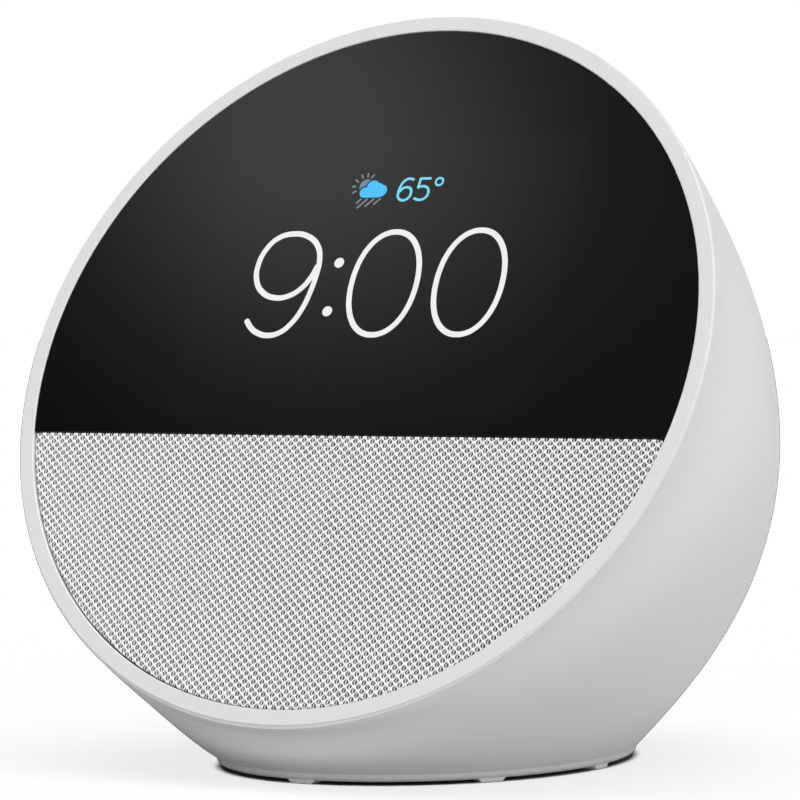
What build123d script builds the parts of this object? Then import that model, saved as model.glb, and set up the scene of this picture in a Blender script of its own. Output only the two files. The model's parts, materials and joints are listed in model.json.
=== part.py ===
"""A round-faced smart display, as an assembly of separate parts. Millimetres, +Z up.

The origin is on the table under the middle of the body. The front faces -Y. Most parts lie
in one of three frames: the table's own, the face's (FACE: x across, y up the face, z out of
it) and the button group's (CROWN: z out of the shell along the buttons' travel).
"""
import os
from math import cos, radians, sin, sqrt, tan

from build123d import *

# ---- Driving dimensions ---------------------------------------------------------------
RIM_R = 56.6  # outer radius of the shell at its rim
LEAN = 25.83  # degrees that the face leans back
RIM_Y, RIM_Z = -26.9, 59.95  # centre of the face
FOOT_PAD_H = 0.45  # foot pads under the ring
RING_TOP = 1.53  # top of the foot ring, where the shell starts
FOOT_ROUND = 1.0  # the foot ring's rounded lower edge
BASE_Y = -5.27  # middle of the oval base
BASE_RX, BASE_RY = 29.2, 36.8  # the shell's half axes where it meets the foot ring
WALL = 2.2  # shell wall

# Shell sections between base and rim. Each lies in a plane through one line under the chin:
# (share of the swing from base to rim, far end, near end, half width).
SHELL_SECTIONS = (
    (0.1, 96.8, 10.95, 34.95),
    (0.25, 110.4, 9.5, 42.6),
    (0.5, 115.8, 9.15, 52.1),
    (0.75, 117.8, 8.6, 56.1),
)

OPENING_R = 54.1  # inside of the bezel
BEZEL_R, BEZEL_STEP = 56.38, 0.36  # the bezel's edge stands this far in front of the shell's rim
BEZEL_SKIRT_R, BEZEL_BACK = 55.1, -2.2
BEZEL_INNER_ROUND, BEZEL_OUTER_ROUND = 0.18, 0.06
CHORD_Y = -12.12  # where the glass ends and the grille starts
CHORD_GAP = 0.08
CLEAR = 0.1  # general assembly clearance
FRAME_SIDE_GAP = 0.3  # between the front frame and the shell round it

GLASS_FRONT, GLASS_BACK = -0.14, -1.22
FRAME_R, FRAME_STEP, FRAME_FRONT, FRAME_BACK = 53.9, -1.52, -2.5, -4.3
PANEL_W, PANEL_H, PANEL_Y = 66.0, 50.0, 13.9
PANEL_FRONT, PANEL_BACK, LIGHT_BACK = -1.32, -2.72, -4.95
FABRIC_FRONT, FABRIC_BACK, GRILLE_BACK = -0.14, -0.95, -2.4
GRILLE_CORNER_R = 0.8

SPEAKER_Y, SPEAKER_R, SPEAKER_FLAT = -32.6, 22.0, 20.4
SPEAKER_HOLE_R, CONE_R, COIL_R = 19.5, 16.8, 6.25
SPEAKER_SCREWS = [(-24.6, SPEAKER_Y), (24.6, SPEAKER_Y)]

BOARD_W, BOARD_H, BOARD_Y = 80.0, 40.0, 14.0
BOARD_FRONT, BOARD_BACK = -13.0, -14.2
BOARD_HOLES = [(x, y) for x in (-37.0, 37.0) for y in (-1.0, 29.0)]
FRAME_SCREW_RADIUS, FRAME_SCREW_ANGLES = 49.5, (25, 155, 220, 320)
FRAME_SCREW_SEAT = FRAME_FRONT - 0.95  # floor of the recess for each screw head

CROWN_SHARE = 0.86  # where the buttons sit, as a share of the swing from base to rim
BUTTON_PITCH, BUTTON_R, BUTTON_TRAVEL = 19.0, 4.6, 0.6
BUTTON_GAP = 0.25
SWITCH_TOP, SWITCH_BACK, BUTTON_BOARD_BACK = -12.3, -13.9, -15.1
PLUNGER_R, PLUNGER_BOTTOM = 0.9, SWITCH_TOP - 0.5
BUTTON_BOARD_SCREW_X = 28.5
MIC_X = 9.5

JACK_Z, JACK_FACE_Y, JACK_POCKET_R = 16.0, 37.5, 5.5
JACK_BORE_R, JACK_PIN_R, JACK_DEPTH = 2.15, 0.8, 9.5
JACK_TAIL_R = 0.6  # the pin's thinner tail, held in the inlet's body

PAD_ANGLES = (0, 53, 91, 127, 180, 233, 269, 307)  # foot pads round the ring, from the front
PAD_WIDTH = 3.3
BASE_SCREWS = [(x, y) for x in (-17.0, 17.0) for y in (-22.0, 22.0)]

# ---- Frames and helpers -----------------------------------------------------------------
FACE = Plane(
    origin=(0, RIM_Y, RIM_Z),
    x_dir=(1, 0, 0),
    z_dir=(0, -cos(radians(LEAN)), sin(radians(LEAN))),
)
HINGE_Y, HINGE_Z = RIM_Y - (RIM_Z - RING_TOP) * tan(radians(LEAN)), RING_TOP
SWING = 90 - LEAN  # degrees between the base plane and the face plane


def rod(radius, low, high, x=0, y=0):
    """A cylinder along z between two levels."""
    return Pos(x, y, (low + high) / 2) * Cylinder(radius, high - low)


def tube(outer, inner, low, high, x=0, y=0):
    """A cylinder with a hole through it."""
    return rod(outer, low, high, x, y) - rod(inner, low - 1, high + 1, x, y)


def block(width, depth, low, high, x=0, y=0):
    """A box along z between two levels."""
    return Pos(x, y, (low + high) / 2) * Box(width, depth, high - low)


def oval(rx, ry, low, high):
    """An upright elliptical slab over the middle of the base."""
    return Pos(0, BASE_Y, low) * extrude(Ellipse(rx, ry), high - low)


def group(shapes):
    """Separate solids as one shape."""
    return Compound([solid for shape in shapes for solid in shape.solids()])


def above_chord(shape, chord):
    """The part of a face shape above a horizontal chord."""
    return shape & block(2 * RIM_R, 2 * RIM_R, -80, 10, 0, chord + RIM_R)


def below_chord(shape, chord):
    """The part of a face shape below a horizontal chord."""
    return shape & block(2 * RIM_R, 2 * RIM_R, -80, 10, 0, chord - RIM_R)


def screws(places, head_r, head_h, shank_r, length, seat):
    """Pan-head screws with cross recesses, heads above level seat, shanks below it."""
    one = rod(head_r, 0, head_h) + rod(shank_r, -length, 0)
    edge = one.edges().filter_by(GeomType.CIRCLE).sort_by(Axis.Z)[-1]
    one = fillet(edge, head_h * 0.4)
    for turn in (0, 90):
        one -= Rot(0, 0, turn) * block(head_r * 1.1, head_r * 0.3, head_h * 0.5, head_h + 1)
    return group([Pos(x, y, seat) * one for x, y in places])


def polar_places(radius, angles):
    """Points on a circle, from angles in degrees."""
    return [(radius * cos(radians(a)), radius * sin(radians(a))) for a in angles]


# ---- Shell ------------------------------------------------------------------------------
def shell_section(share, far, near, half_width):
    """One elliptical section of the shell, in its plane through the line under the chin."""
    angle = radians(share * SWING)
    middle = (far + near) / 2
    plane = Plane(
        origin=(0, HINGE_Y + middle * cos(angle), HINGE_Z + middle * sin(angle)),
        x_dir=(1, 0, 0),
        z_dir=(0, -sin(angle), cos(angle)),
    )
    return plane * Ellipse(half_width, (far - near) / 2)


def all_sections():
    """The base section, the middle ones and the rim, as (share, far, near, half width)."""
    from_hinge = BASE_Y - HINGE_Y
    base = (0.0, from_hinge + BASE_RY, from_hinge - BASE_RY, BASE_RX)
    rim_middle = (RIM_Z - HINGE_Z) / cos(radians(LEAN))
    rim = (1.0, rim_middle + RIM_R, rim_middle - RIM_R, RIM_R)
    return [base, *SHELL_SECTIONS, rim]


def dome(inset=0.0):
    """The solid inside the shell's outer surface, or that solid made smaller by inset."""
    rings = [shell_section(s, f - inset, n + inset, w - inset) for s, f, n, w in all_sections()]
    return loft(rings)


DOME = dome()


def crown_frame():
    """The button group's frame: on the crown's centre line, z out along its normal."""
    angle = radians(CROWN_SHARE * SWING)
    start = Vector(0, HINGE_Y + 60 * cos(angle), HINGE_Z + 60 * sin(angle))
    hits = DOME.find_intersection_points(Axis(start, (0, cos(angle), sin(angle))))
    point, normal = max(hits, key=lambda hit: (hit[0] - start).length)
    if normal.Z < 0:
        normal = -normal
    normal = Vector(0, normal.Y, normal.Z).normalized()
    return Plane(origin=point, x_dir=(1, 0, 0), z_dir=normal)


CROWN = crown_frame()


def crown_drop(x):
    """How far the shell lies below the middle of the crown, x millimetres to the side."""
    start = CROWN.location * Pos(x, 0, -20)
    hits = DOME.find_intersection_points(Axis(start.position, CROWN.z_dir))
    return 20 - max((hit[0] - start.position).dot(CROWN.z_dir) for hit in hits)


BUTTON_X = {"volume_down": -BUTTON_PITCH, "mic_off": 0.0, "volume_up": BUTTON_PITCH}
BUTTON_DROP = {name: crown_drop(x) for name, x in BUTTON_X.items()}


def frame_screw_places():
    """Where the front frame is screwed to the shell, in the face's frame."""
    return polar_places(FRAME_SCREW_RADIUS, FRAME_SCREW_ANGLES)


def rear_shell():
    """The one-piece dome, with its bosses, button guides and jack pocket."""
    shell = DOME - dome(WALL)
    inside = []
    for x, y in frame_screw_places():
        inside.append(FACE.location * rod(3.2, -60, FRAME_BACK - 0.05, x, y))
    for x, y in BASE_SCREWS:
        inside.append(rod(3.0, 3.4, 14, x, BASE_Y + y))
        turn = 50 if x * y > 0 else -50
        rib = Rot(0, 0, turn) * Box(16, 2.0, 8.6)
        inside.append(Pos(x * 1.25, BASE_Y + y * 1.25, 7.9) * rib)
    for name, x in BUTTON_X.items():
        low = -BUTTON_DROP[name] - 6.2
        inside.append(CROWN.location * rod(BUTTON_R + 2.0, low, 8, x))
    for x in (-BUTTON_BOARD_SCREW_X, BUTTON_BOARD_SCREW_X):
        inside.append(CROWN.location * rod(2.8, SWITCH_BACK + 0.05, 8, x))
    boss_depth = JACK_FACE_Y - 2.4
    boss = Pos(0, boss_depth + 10, JACK_Z) * Rot(90, 0, 0) * Cylinder(JACK_POCKET_R + 1.8, 20)
    inside.append(boss)
    for piece in inside:
        shell += piece & DOME
    shell -= FACE.location * block(130, 130, -BEZEL_STEP, 20)
    shell -= FACE.location * rod(BEZEL_SKIRT_R + CLEAR, BEZEL_BACK - 0.05, 1)
    shell -= FACE.location * rod(FRAME_R + FRAME_SIDE_GAP, FRAME_BACK - CLEAR, 1)
    for x, y in frame_screw_places():
        shell -= FACE.location * rod(1.0, FRAME_BACK - 8, FRAME_BACK + 1, x, y)
    for x, y in BASE_SCREWS:
        shell -= rod(1.0, 0, 11, x, BASE_Y + y)
    for x in BUTTON_X.values():
        shell -= CROWN.location * rod(BUTTON_R + BUTTON_GAP, -30, 8, x)
    for x in (-BUTTON_BOARD_SCREW_X, BUTTON_BOARD_SCREW_X):
        shell -= CROWN.location * rod(0.9, SWITCH_BACK - 1, SWITCH_BACK + 5, x)
    for x in (-MIC_X, MIC_X):
        shell -= CROWN.location * rod(0.5, -10, 8, x)
    pocket = Pos(0, JACK_FACE_Y + 10, JACK_Z) * Rot(90, 0, 0) * Cylinder(JACK_POCKET_R, 20)
    nose_hole = Pos(0, JACK_FACE_Y, JACK_Z) * Rot(90, 0, 0) * Cylinder(3.6, 20)
    return shell - pocket - nose_hole


def base_plate():
    """The oval plate that closes the shell from below."""
    plate = oval(BASE_RX - WALL - 0.3, BASE_RY - WALL - 0.3, RING_TOP, RING_TOP + 1.8)
    plate -= oval(15, 20, RING_TOP - 1, RING_TOP + 0.4)
    for x, y in BASE_SCREWS:
        plate -= rod(1.3, 0, 10, x, BASE_Y + y)
        plate -= rod(2.3, 0, RING_TOP + 1.0, x, BASE_Y + y)
    return plate


def foot_ring():
    """The oval ring under the shell, with eight low pads that touch the table."""
    ring = oval(BASE_RX, BASE_RY, FOOT_PAD_H, RING_TOP)
    under = ring.edges().group_by(Axis.Z)[0]
    ring = fillet(under, FOOT_ROUND) - oval(BASE_RX - 9.5, BASE_RY - 9.5, -1, RING_TOP + 1)
    pad_top = FOOT_PAD_H + 0.4
    band = oval(BASE_RX - 0.5, BASE_RY - 0.5, 0, pad_top) - oval(BASE_RX - 3.2, BASE_RY - 3.2, -1, 2)
    for angle in PAD_ANGLES:
        x = (BASE_RX - 2) * sin(radians(angle))
        y = BASE_Y - (BASE_RY - 2) * cos(radians(angle))
        pad = loft([
            Pos(x, y, 0) * Rot(0, 0, angle) * Rectangle(PAD_WIDTH, 8),
            Pos(x, y, pad_top) * Rot(0, 0, angle) * Rectangle(PAD_WIDTH + 1.8, 8),
        ])
        ring += pad & band
    return ring


# ---- Face -------------------------------------------------------------------------------
def front_bezel():
    """The flat ring round the face, with a skirt that fits the shell's mouth."""
    profile = Plane.XZ * Polyline(
        (OPENING_R, 0),
        (BEZEL_R, 0),
        (BEZEL_R, -BEZEL_STEP),
        (BEZEL_SKIRT_R, -BEZEL_STEP),
        (BEZEL_SKIRT_R, BEZEL_BACK),
        (OPENING_R, BEZEL_BACK),
        close=True,
    )
    ring = revolve(make_face(profile), Axis.Z)
    for radius, size in ((OPENING_R, BEZEL_INNER_ROUND), (BEZEL_R, BEZEL_OUTER_ROUND)):
        circles = ring.edges().filter_by(GeomType.CIRCLE).filter_by_position(Axis.Z, -0.01, 0.01)
        edge = [e for e in circles if abs(e.radius - radius) < 0.01]
        ring = fillet(edge, size)
    return ring


def cover_glass():
    """Black glass, the disc above the chord."""
    return above_chord(rod(OPENING_R - 0.1, GLASS_BACK, GLASS_FRONT), CHORD_Y + CHORD_GAP)


def glass_adhesive():
    """The adhesive frame that holds the glass to the front frame."""
    outer = above_chord(rod(53.4, FRAME_STEP, GLASS_BACK), CHORD_Y + 0.3)
    inner = above_chord(rod(51.3, -5, 5), CHORD_Y + 1.0)
    return outer - inner - block(PANEL_W + 1.4, PANEL_H + 2, -5, 5, 0, PANEL_Y)


def front_frame():
    """The black chassis disc that carries the glass, display, grille, speaker and board."""
    window = block(PANEL_W + 1, PANEL_H + 3, -20, 5, 0, PANEL_Y)
    frame = rod(FRAME_R, FRAME_BACK, FRAME_FRONT)
    step = above_chord(rod(FRAME_R, FRAME_FRONT, FRAME_STEP), CHORD_Y + 0.2)
    step -= above_chord(rod(50.6, -5, 5), CHORD_Y + 1.2)
    frame = frame + step - window
    frame -= block(24, 6, -20, 5, 0, PANEL_Y + PANEL_H / 2 + 2)
    frame -= rod(SPEAKER_HOLE_R, -20, 5, 0, SPEAKER_Y)
    for x, y in SPEAKER_SCREWS:
        frame -= rod(0.9, -20, FRAME_FRONT - 0.4, x, y)
    for x, y in BOARD_HOLES:
        frame += tube(2.4, 0.9, BOARD_FRONT, FRAME_BACK, x, y)
    for x, y in bracket_holes():
        frame -= rod(0.9, -20, FRAME_FRONT - 0.2, x, y)
    for x, y in frame_screw_places():
        frame -= rod(1.3, -20, 5, x, y)
        frame -= rod(2.7, FRAME_SCREW_SEAT, 5, x, y)
    return frame


def grille_frame():
    """The slotted carrier behind the fabric."""
    plate = below_chord(rod(FRAME_R - 0.1, GRILLE_BACK, FABRIC_BACK - 0.03), CHORD_Y - 0.3)
    pitch, slot = 2.6, 1.6
    for row in range(14):
        y = CHORD_Y - 4 - row * pitch
        reach = sqrt(max(50.5**2 - y**2, 0)) - 2
        if reach < 4:
            continue
        columns = max(1, round(2 * reach / 12))
        width = 2 * reach / columns
        for column in range(columns):
            x = -reach + (column + 0.5) * width
            plate -= block(width - 1.2, slot, -10, 5, x, y)
    return plate


def grille_fabric():
    """The knitted cover of the lower part, a soft layer with rounded upper corners."""
    cloth = below_chord(rod(OPENING_R - 0.12, FABRIC_BACK, FABRIC_FRONT), CHORD_Y)
    corners = [e for e in cloth.edges().filter_by(Axis.Z) if abs(e.center().X) > 40]
    return fillet(corners, GRILLE_CORNER_R)


# ---- Display ----------------------------------------------------------------------------
def display_panel():
    """The liquid crystal panel, bonded behind the glass."""
    return block(PANEL_W, PANEL_H, PANEL_BACK, PANEL_FRONT, 0, PANEL_Y)


def backlight_unit():
    """The light guide behind the panel, with chamfered upper corners."""
    light = block(PANEL_W - 0.6, PANEL_H - 0.6, LIGHT_BACK, PANEL_BACK - 0.05, 0, PANEL_Y)
    return chamfer(light.edges().filter_by(Axis.Z).group_by(Axis.Y)[-1], 1.5)


def bracket_ears():
    """The bracket's ears, as (x, y, width, height)."""
    top = PANEL_Y + PANEL_H / 2 + 3.4
    return [(-37, 14, 7, 10), (37, 14, 7, 10), (-20, top, 9, 6), (20, top, 9, 6)]


def bracket_holes():
    """Screw places in the bracket's ears."""
    return [(x * 1.03, y + (0.8 if y > 20 else 0)) for x, y, _, _ in bracket_ears()]


def display_bracket():
    """The pressed steel tray that holds the panel and backlight in the frame."""
    front, back = FRAME_BACK - 0.05, -5.6
    tray = block(PANEL_W + 1.8, PANEL_H + 1.2, back, front, 0, PANEL_Y)
    for x, y, width, height in bracket_ears():
        tray += block(width, height, front - 0.5, front, x, y)
    tray -= block(PANEL_W + 0.8, PANEL_H + 0.2, back + 0.5, 5, 0, PANEL_Y)
    for x in (-22, 0, 22):
        tray -= block(14, 30, back - 1, 5, x, PANEL_Y)
    for x, y in bracket_holes():
        tray -= rod(1.1, -20, 5, x, y)
    return tray


def display_flex():
    """The flat cable from the panel's top edge round the bracket to the main board."""
    edge = PANEL_Y + PANEL_H / 2
    path = FilletPolyline(
        (0, edge, -2.0), (0, edge + 2.2, -2.0), (0, edge + 2.2, -8.0), (0, 33, -8.0),
        (0, 29, -12.9), radius=0.9,
    )
    start = Plane(origin=(0, edge, -2.0), x_dir=(1, 0, 0), z_dir=(0, 1, 0))
    return sweep(start * Rectangle(16, 0.25), path)


# ---- Speaker ----------------------------------------------------------------------------
def speaker_outline(low, high):
    """The driver's outline: a disc with a flat at top and bottom and an ear at each side."""
    outline = rod(SPEAKER_R, low, high) & block(60, 2 * SPEAKER_FLAT, low, high)
    for x, _ in SPEAKER_SCREWS:
        outline += rod(3.0, low, high, x)
        outline += block(6, 6, low, high, x * 0.88)
        outline -= rod(1.1, low - 1, high + 1, x)
    return outline


def at_speaker(shape):
    """Place a shape of the driver's own axis on the face."""
    return Pos(0, SPEAKER_Y, 0) * shape


def speaker_gasket():
    """The foam ring between driver and frame."""
    ring = speaker_outline(FRAME_BACK - 0.6, FRAME_BACK) - rod(SPEAKER_HOLE_R + 0.4, -20, 5)
    return at_speaker(ring)


def cone_shell(outer_r, outer_z, inner_r, inner_z, thickness):
    """A thin cone of one thickness, open at both ends, about the driver's axis."""
    profile = Plane.XZ * Polyline(
        (inner_r, inner_z), (outer_r, outer_z), (outer_r, outer_z - thickness),
        (inner_r, inner_z - thickness), close=True,
    )
    return revolve(make_face(profile), Axis.Z)


def speaker_basket():
    """The driver's frame: flange, four legs and the seat for the top plate."""
    front = FRAME_BACK - 0.6
    flange = speaker_outline(front - 1.4, front) - rod(SPEAKER_HOLE_R - 0.05, -20, 5)
    legs = cone_shell(20.6, front - 0.7, 15.4, -16.2, 1.6) & rod(22, -16.2, front - 0.7)
    for turn in (0, 90):
        legs -= Rot(0, 0, turn) * block(18, 60, -14.4, front - 3.2)
    seat = tube(16.0, 8.2, -16.2, -15.2) + tube(16.2, 12.4, -15.2, -14.45)
    return at_speaker(flange + legs + seat)


def speaker_surround():
    """The rubber half roll between basket and cone."""
    roll_r = (SPEAKER_HOLE_R - 0.1 - CONE_R) / 2
    middle = CONE_R + roll_r
    arch = Plane.XZ * (Pos(middle, -6.35) * (Circle(roll_r) - Circle(roll_r - 0.4)))
    arch &= Plane.XZ * (Pos(middle, -5.35) * Rectangle(6, 2))
    return at_speaker(revolve(arch, Axis.Z))


def speaker_cone():
    """The moving cone, with the neck that carries the coil."""
    cone = cone_shell(CONE_R - 0.1, -6.4, COIL_R + 0.2, -12.4, 0.4)
    neck = tube(COIL_R + 0.2, COIL_R, -14.6, -12.4)
    return at_speaker(cone + neck)


def dust_cap():
    """The domed cap over the coil."""
    ball_r = 10.0
    cap = Sphere(ball_r) - Sphere(ball_r - 0.35)
    cap &= rod(6.1, ball_r - 3, ball_r + 1)
    return at_speaker(Pos(0, 0, -10.6 - ball_r) * cap)


def voice_coil():
    """The winding on its former, in the magnet's gap."""
    return at_speaker(tube(COIL_R + 0.2, COIL_R - 0.1, -19.0, -14.65))


def speaker_spider():
    """The corrugated ring that centres the coil."""
    waves = [(COIL_R + 0.35 + i * 0.95, -14.0 + (0.35 if i % 2 else -0.1)) for i in range(8)]
    rim = Polyline(*waves, *[(r, z - 0.3) for r, z in reversed(waves)], close=True)
    return at_speaker(revolve(make_face(Plane.XZ * rim), Axis.Z))


def speaker_top_plate():
    """The steel plate round the coil's gap."""
    return at_speaker(tube(14.0, 6.75, -18.3, -16.25))


def speaker_magnet():
    """The ring magnet."""
    return at_speaker(tube(15.5, 8.2, -24.4, -18.35))


def speaker_yoke():
    """The steel back plate with its centre pole."""
    return at_speaker(rod(14.4, -26.6, -24.45) + rod(5.85, -24.45, -16.3))


# ---- Electronics --------------------------------------------------------------------------
def main_board():
    """The main circuit board, notched over the driver's magnet."""
    board = block(BOARD_W, BOARD_H, BOARD_BACK, BOARD_FRONT, 0, BOARD_Y)
    board = fillet(board.edges().filter_by(Axis.Z), 2.0)
    board -= rod(16.5, -20, 5, 0, SPEAKER_Y + 14)
    for x, y in BOARD_HOLES:
        board -= rod(1.2, -20, 5, x, y)
    return board


def board_chips():
    """Memory, radio and power parts on both sides of the board."""
    back = [(-26, 24, 9, 9, 1.0), (-26, 10, 7, 7, 0.9), (27, 10, 6, 8, 1.2), (22, 27, 5, 4, 2.2)]
    front = [(-24, 27, 12, 5, 1.6), (18, 5, 5, 5, 1.1), (-18, 6, 4, 4, 1.4), (27, 22, 8, 6, 2.0)]
    chips = [block(w, h, BOARD_BACK - t, BOARD_BACK, x, y) for x, y, w, h, t in back]
    chips += [block(w, h, BOARD_FRONT, BOARD_FRONT + t, x, y) for x, y, w, h, t in front]
    return group(chips)


def soc_shield():
    """The sheet metal can over the processor."""
    can = block(26, 22, BOARD_BACK - 2.0, BOARD_BACK, 2, 17)
    return can - block(25.4, 21.4, BOARD_BACK - 1.7, BOARD_BACK + 1, 2, 17)


def thermal_pad():
    """The soft pad between the can and the heat sink."""
    return block(20, 16, BOARD_BACK - 2.8, BOARD_BACK - 2.0, 2, 17)


def heat_sink():
    """The finned aluminium plate behind the board."""
    front = BOARD_BACK - 2.8
    sink = block(56, 30, front - 2.0, front, 0, 17)
    for fin in range(9):
        sink += block(1.2, 30, front - 8.0, front - 2.0, -26 + fin * 6.5, 17)
    return sink


def antenna_board():
    """The wireless antenna on a small upright board at the side."""
    board = block(1.0, 22, -32, -21, 40.0, 12)
    return board - block(3, 4, -31, -28, 40.0, 12)


# ---- Buttons ------------------------------------------------------------------------------
def button(name):
    """A key cap flush with the crown, with its flange under the guide and a stem."""
    x, skin = BUTTON_X[name], -BUTTON_DROP[name]
    flange_top = skin - 6.3
    cap = CROWN.location * rod(BUTTON_R, flange_top - 0.8, 8, x) & DOME
    cap += CROWN.location * rod(BUTTON_R + 1.2, flange_top - 0.8, flange_top, x)
    if flange_top - 0.8 > SWITCH_TOP + 1.4:
        cap += CROWN.location * rod(1.5, SWITCH_TOP + 1.35, flange_top - 0.8, x)
    return cap


def plunger(name):
    """The small plunger of one tactile switch."""
    return CROWN.location * rod(PLUNGER_R, PLUNGER_BOTTOM, SWITCH_TOP + 1.3, BUTTON_X[name])


def tact_switches():
    """The bodies of the three switches, each with the hole that its plunger slides in."""
    body = block(5, 5, SWITCH_BACK, SWITCH_TOP)
    body -= rod(PLUNGER_R + 0.05, PLUNGER_BOTTOM - BUTTON_TRAVEL - 0.2, 5)
    return group([CROWN.location * Pos(x, 0, 0) * body for x in BUTTON_X.values()])


def button_board():
    """The narrow board under the crown."""
    board = block(2 * BUTTON_BOARD_SCREW_X + 5, 11, BUTTON_BOARD_BACK, SWITCH_BACK)
    for x in (-BUTTON_BOARD_SCREW_X, BUTTON_BOARD_SCREW_X):
        board -= rod(1.1, -30, 5, x)
    return CROWN.location * board


def button_flex():
    """The flat cable from the button board's back to the main board, in the face's frame."""
    start = (CROWN.location * Pos(-17, 0, BUTTON_BOARD_BACK - 0.02)).position
    drop = (CROWN.location * Pos(-17, 0, BUTTON_BOARD_BACK - 2.2)).position
    start, drop = FACE.to_local_coords(start), FACE.to_local_coords(drop)
    level = BOARD_BACK - 0.15
    path = FilletPolyline(start, drop, (-17, 35.0, level), (-17, 31.5, level), radius=0.6)
    return sweep(Plane(origin=start, x_dir=(1, 0, 0), z_dir=path % 0) * Rectangle(6, 0.2), path)


def microphones():
    """Two microphones on the button board."""
    body = block(3.5, 2.65, SWITCH_BACK, SWITCH_BACK + 1.0)
    return group([CROWN.location * Pos(x, 0, 0) * body for x in (-MIC_X, MIC_X)])


def mic_boots():
    """Rubber tubes that carry sound from the shell's holes to the microphones."""
    pieces = []
    cavity = dome(WALL + 0.1)
    for x in (-MIC_X, MIC_X):
        boot = tube(1.5, 0.6, SWITCH_BACK + 1.0, 5)
        pieces.append(CROWN.location * Pos(x, 0, 0) * boot & cavity)
    return group(pieces)


# ---- Power --------------------------------------------------------------------------------
def jack_axis(shape):
    """Place a shape drawn along z so that its z runs out of the jack's mouth."""
    return Pos(0, JACK_FACE_Y, JACK_Z) * Rot(-90, 0, 0) * shape


def power_jack():
    """The barrel inlet: a round nose in the pocket and a square body behind it."""
    body = rod(3.5, -6, 0) + block(8.6, 8.6, -13, -2.6)
    body -= rod(JACK_BORE_R, -JACK_DEPTH, 1)
    return jack_axis(body - rod(JACK_TAIL_R, -20, 5))


def jack_pin():
    """The inlet's centre contact, standing on the bore's floor, with a thinner tail behind."""
    pin = rod(JACK_PIN_R, -JACK_DEPTH, -0.6)
    pin = fillet(pin.edges().sort_by(Axis.Z)[-1], 0.3)
    return jack_axis(pin + rod(JACK_TAIL_R, -14, -JACK_DEPTH))


def jack_board():
    """The small board that carries the inlet, on the back of the jack's body."""
    board = block(20, 12, -15.4, -14.1, 0, 0)
    return jack_axis(board)


# ---- Leads held inside ----------------------------------------------------------------------
def lead(points, radius, diameter):
    """A round lead along straight runs joined by arcs."""
    path = FilletPolyline(*points, radius=radius)
    start = Plane(origin=path @ 0, z_dir=path % 0)
    return sweep(start * Circle(diameter / 2), path)


def power_lead():
    """The lead from the jack board to the main board."""
    jack_back = Vector(6, JACK_FACE_Y - 15.4, JACK_Z)
    end = FACE.location * Pos(34, 14, BOARD_BACK)
    before = FACE.location * Pos(34, 14, BOARD_BACK - 10)
    points = (jack_back, jack_back + Vector(0, -8, 0), jack_back + Vector(4, -16, 10),
              before.position, end.position)
    return lead(points, 3.0, 2.0)


def speaker_lead():
    """The driver's lead to the main board, in the face's frame."""
    points = [(-22.4, -26, -7.6), (-28, -22, -8.4), (-31, -12, -10), (-30, -6, -10.8), (-30, -4, -12.3)]
    return lead(points, 2.0, 1.6)


PARTS = {
    "rear_shell": rear_shell(),
    "base_plate": base_plate(),
    "foot_ring": foot_ring(),
    "power_jack": power_jack(),
    "jack_pin": jack_pin(),
    "jack_board": jack_board(),
    "power_lead": power_lead(),
    "tact_switches": tact_switches(),
    "button_board": button_board(),
    "microphones": microphones(),
    "mic_boots": mic_boots(),
    "base_screws": Pos(0, BASE_Y, 0) * Rot(180, 0, 0) * screws(
        [(x, -y) for x, y in BASE_SCREWS], 2.0, 0.8, 0.98, 8, -RING_TOP - 1.0),
    "button_board_screws": CROWN.location * Rot(0, 180, 0) * screws(
        [(-BUTTON_BOARD_SCREW_X, 0), (BUTTON_BOARD_SCREW_X, 0)], 1.7, 1.0, 0.88, 4.8, -BUTTON_BOARD_BACK),
}
for switch_name in BUTTON_X:
    PARTS[switch_name + "_button"] = button(switch_name)
    PARTS[switch_name + "_plunger"] = plunger(switch_name)

FACE_PARTS = {
    "front_bezel": front_bezel(),
    "cover_glass": cover_glass(),
    "glass_adhesive": glass_adhesive(),
    "front_frame": front_frame(),
    "grille_frame": grille_frame(),
    "grille_fabric": grille_fabric(),
    "display_panel": display_panel(),
    "backlight_unit": backlight_unit(),
    "display_bracket": display_bracket(),
    "display_flex": display_flex(),
    "speaker_gasket": speaker_gasket(),
    "speaker_basket": speaker_basket(),
    "speaker_surround": speaker_surround(),
    "speaker_cone": speaker_cone(),
    "dust_cap": dust_cap(),
    "voice_coil": voice_coil(),
    "speaker_spider": speaker_spider(),
    "speaker_top_plate": speaker_top_plate(),
    "speaker_magnet": speaker_magnet(),
    "speaker_yoke": speaker_yoke(),
    "main_board": main_board(),
    "board_chips": board_chips(),
    "soc_shield": soc_shield(),
    "thermal_pad": thermal_pad(),
    "heat_sink": heat_sink(),
    "antenna_board": antenna_board(),
    "speaker_lead": speaker_lead(),
    "button_flex": button_flex(),
    "speaker_screws": Rot(0, 180, 0) * screws(
        SPEAKER_SCREWS, 1.8, 0.9, 0.88, 2.8, -(FRAME_BACK - 2.0)),
    "bracket_screws": Rot(0, 180, 0) * screws(
        bracket_holes(), 1.8, 0.8, 0.88, 2.0, -(FRAME_BACK - 0.55)),
    "board_screws": Rot(0, 180, 0) * screws(BOARD_HOLES, 2.0, 1.0, 0.88, 5, -BOARD_BACK),
    "frame_screws": screws(frame_screw_places(), 2.3, 0.9, 0.98, 7.5, FRAME_SCREW_SEAT),
}
for part_name, part_shape in FACE_PARTS.items():
    PARTS[part_name] = FACE.location * part_shape

os.makedirs("parts", exist_ok=True)
for part_name, part_shape in PARTS.items():
    export_step(part_shape, f"parts/{part_name}.step")
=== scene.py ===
"""Looks for the smart display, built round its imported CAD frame. Metres, +Z up."""

import json
import math

import bmesh
import bpy
import numpy as np
from mathutils import Matrix, Vector


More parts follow.
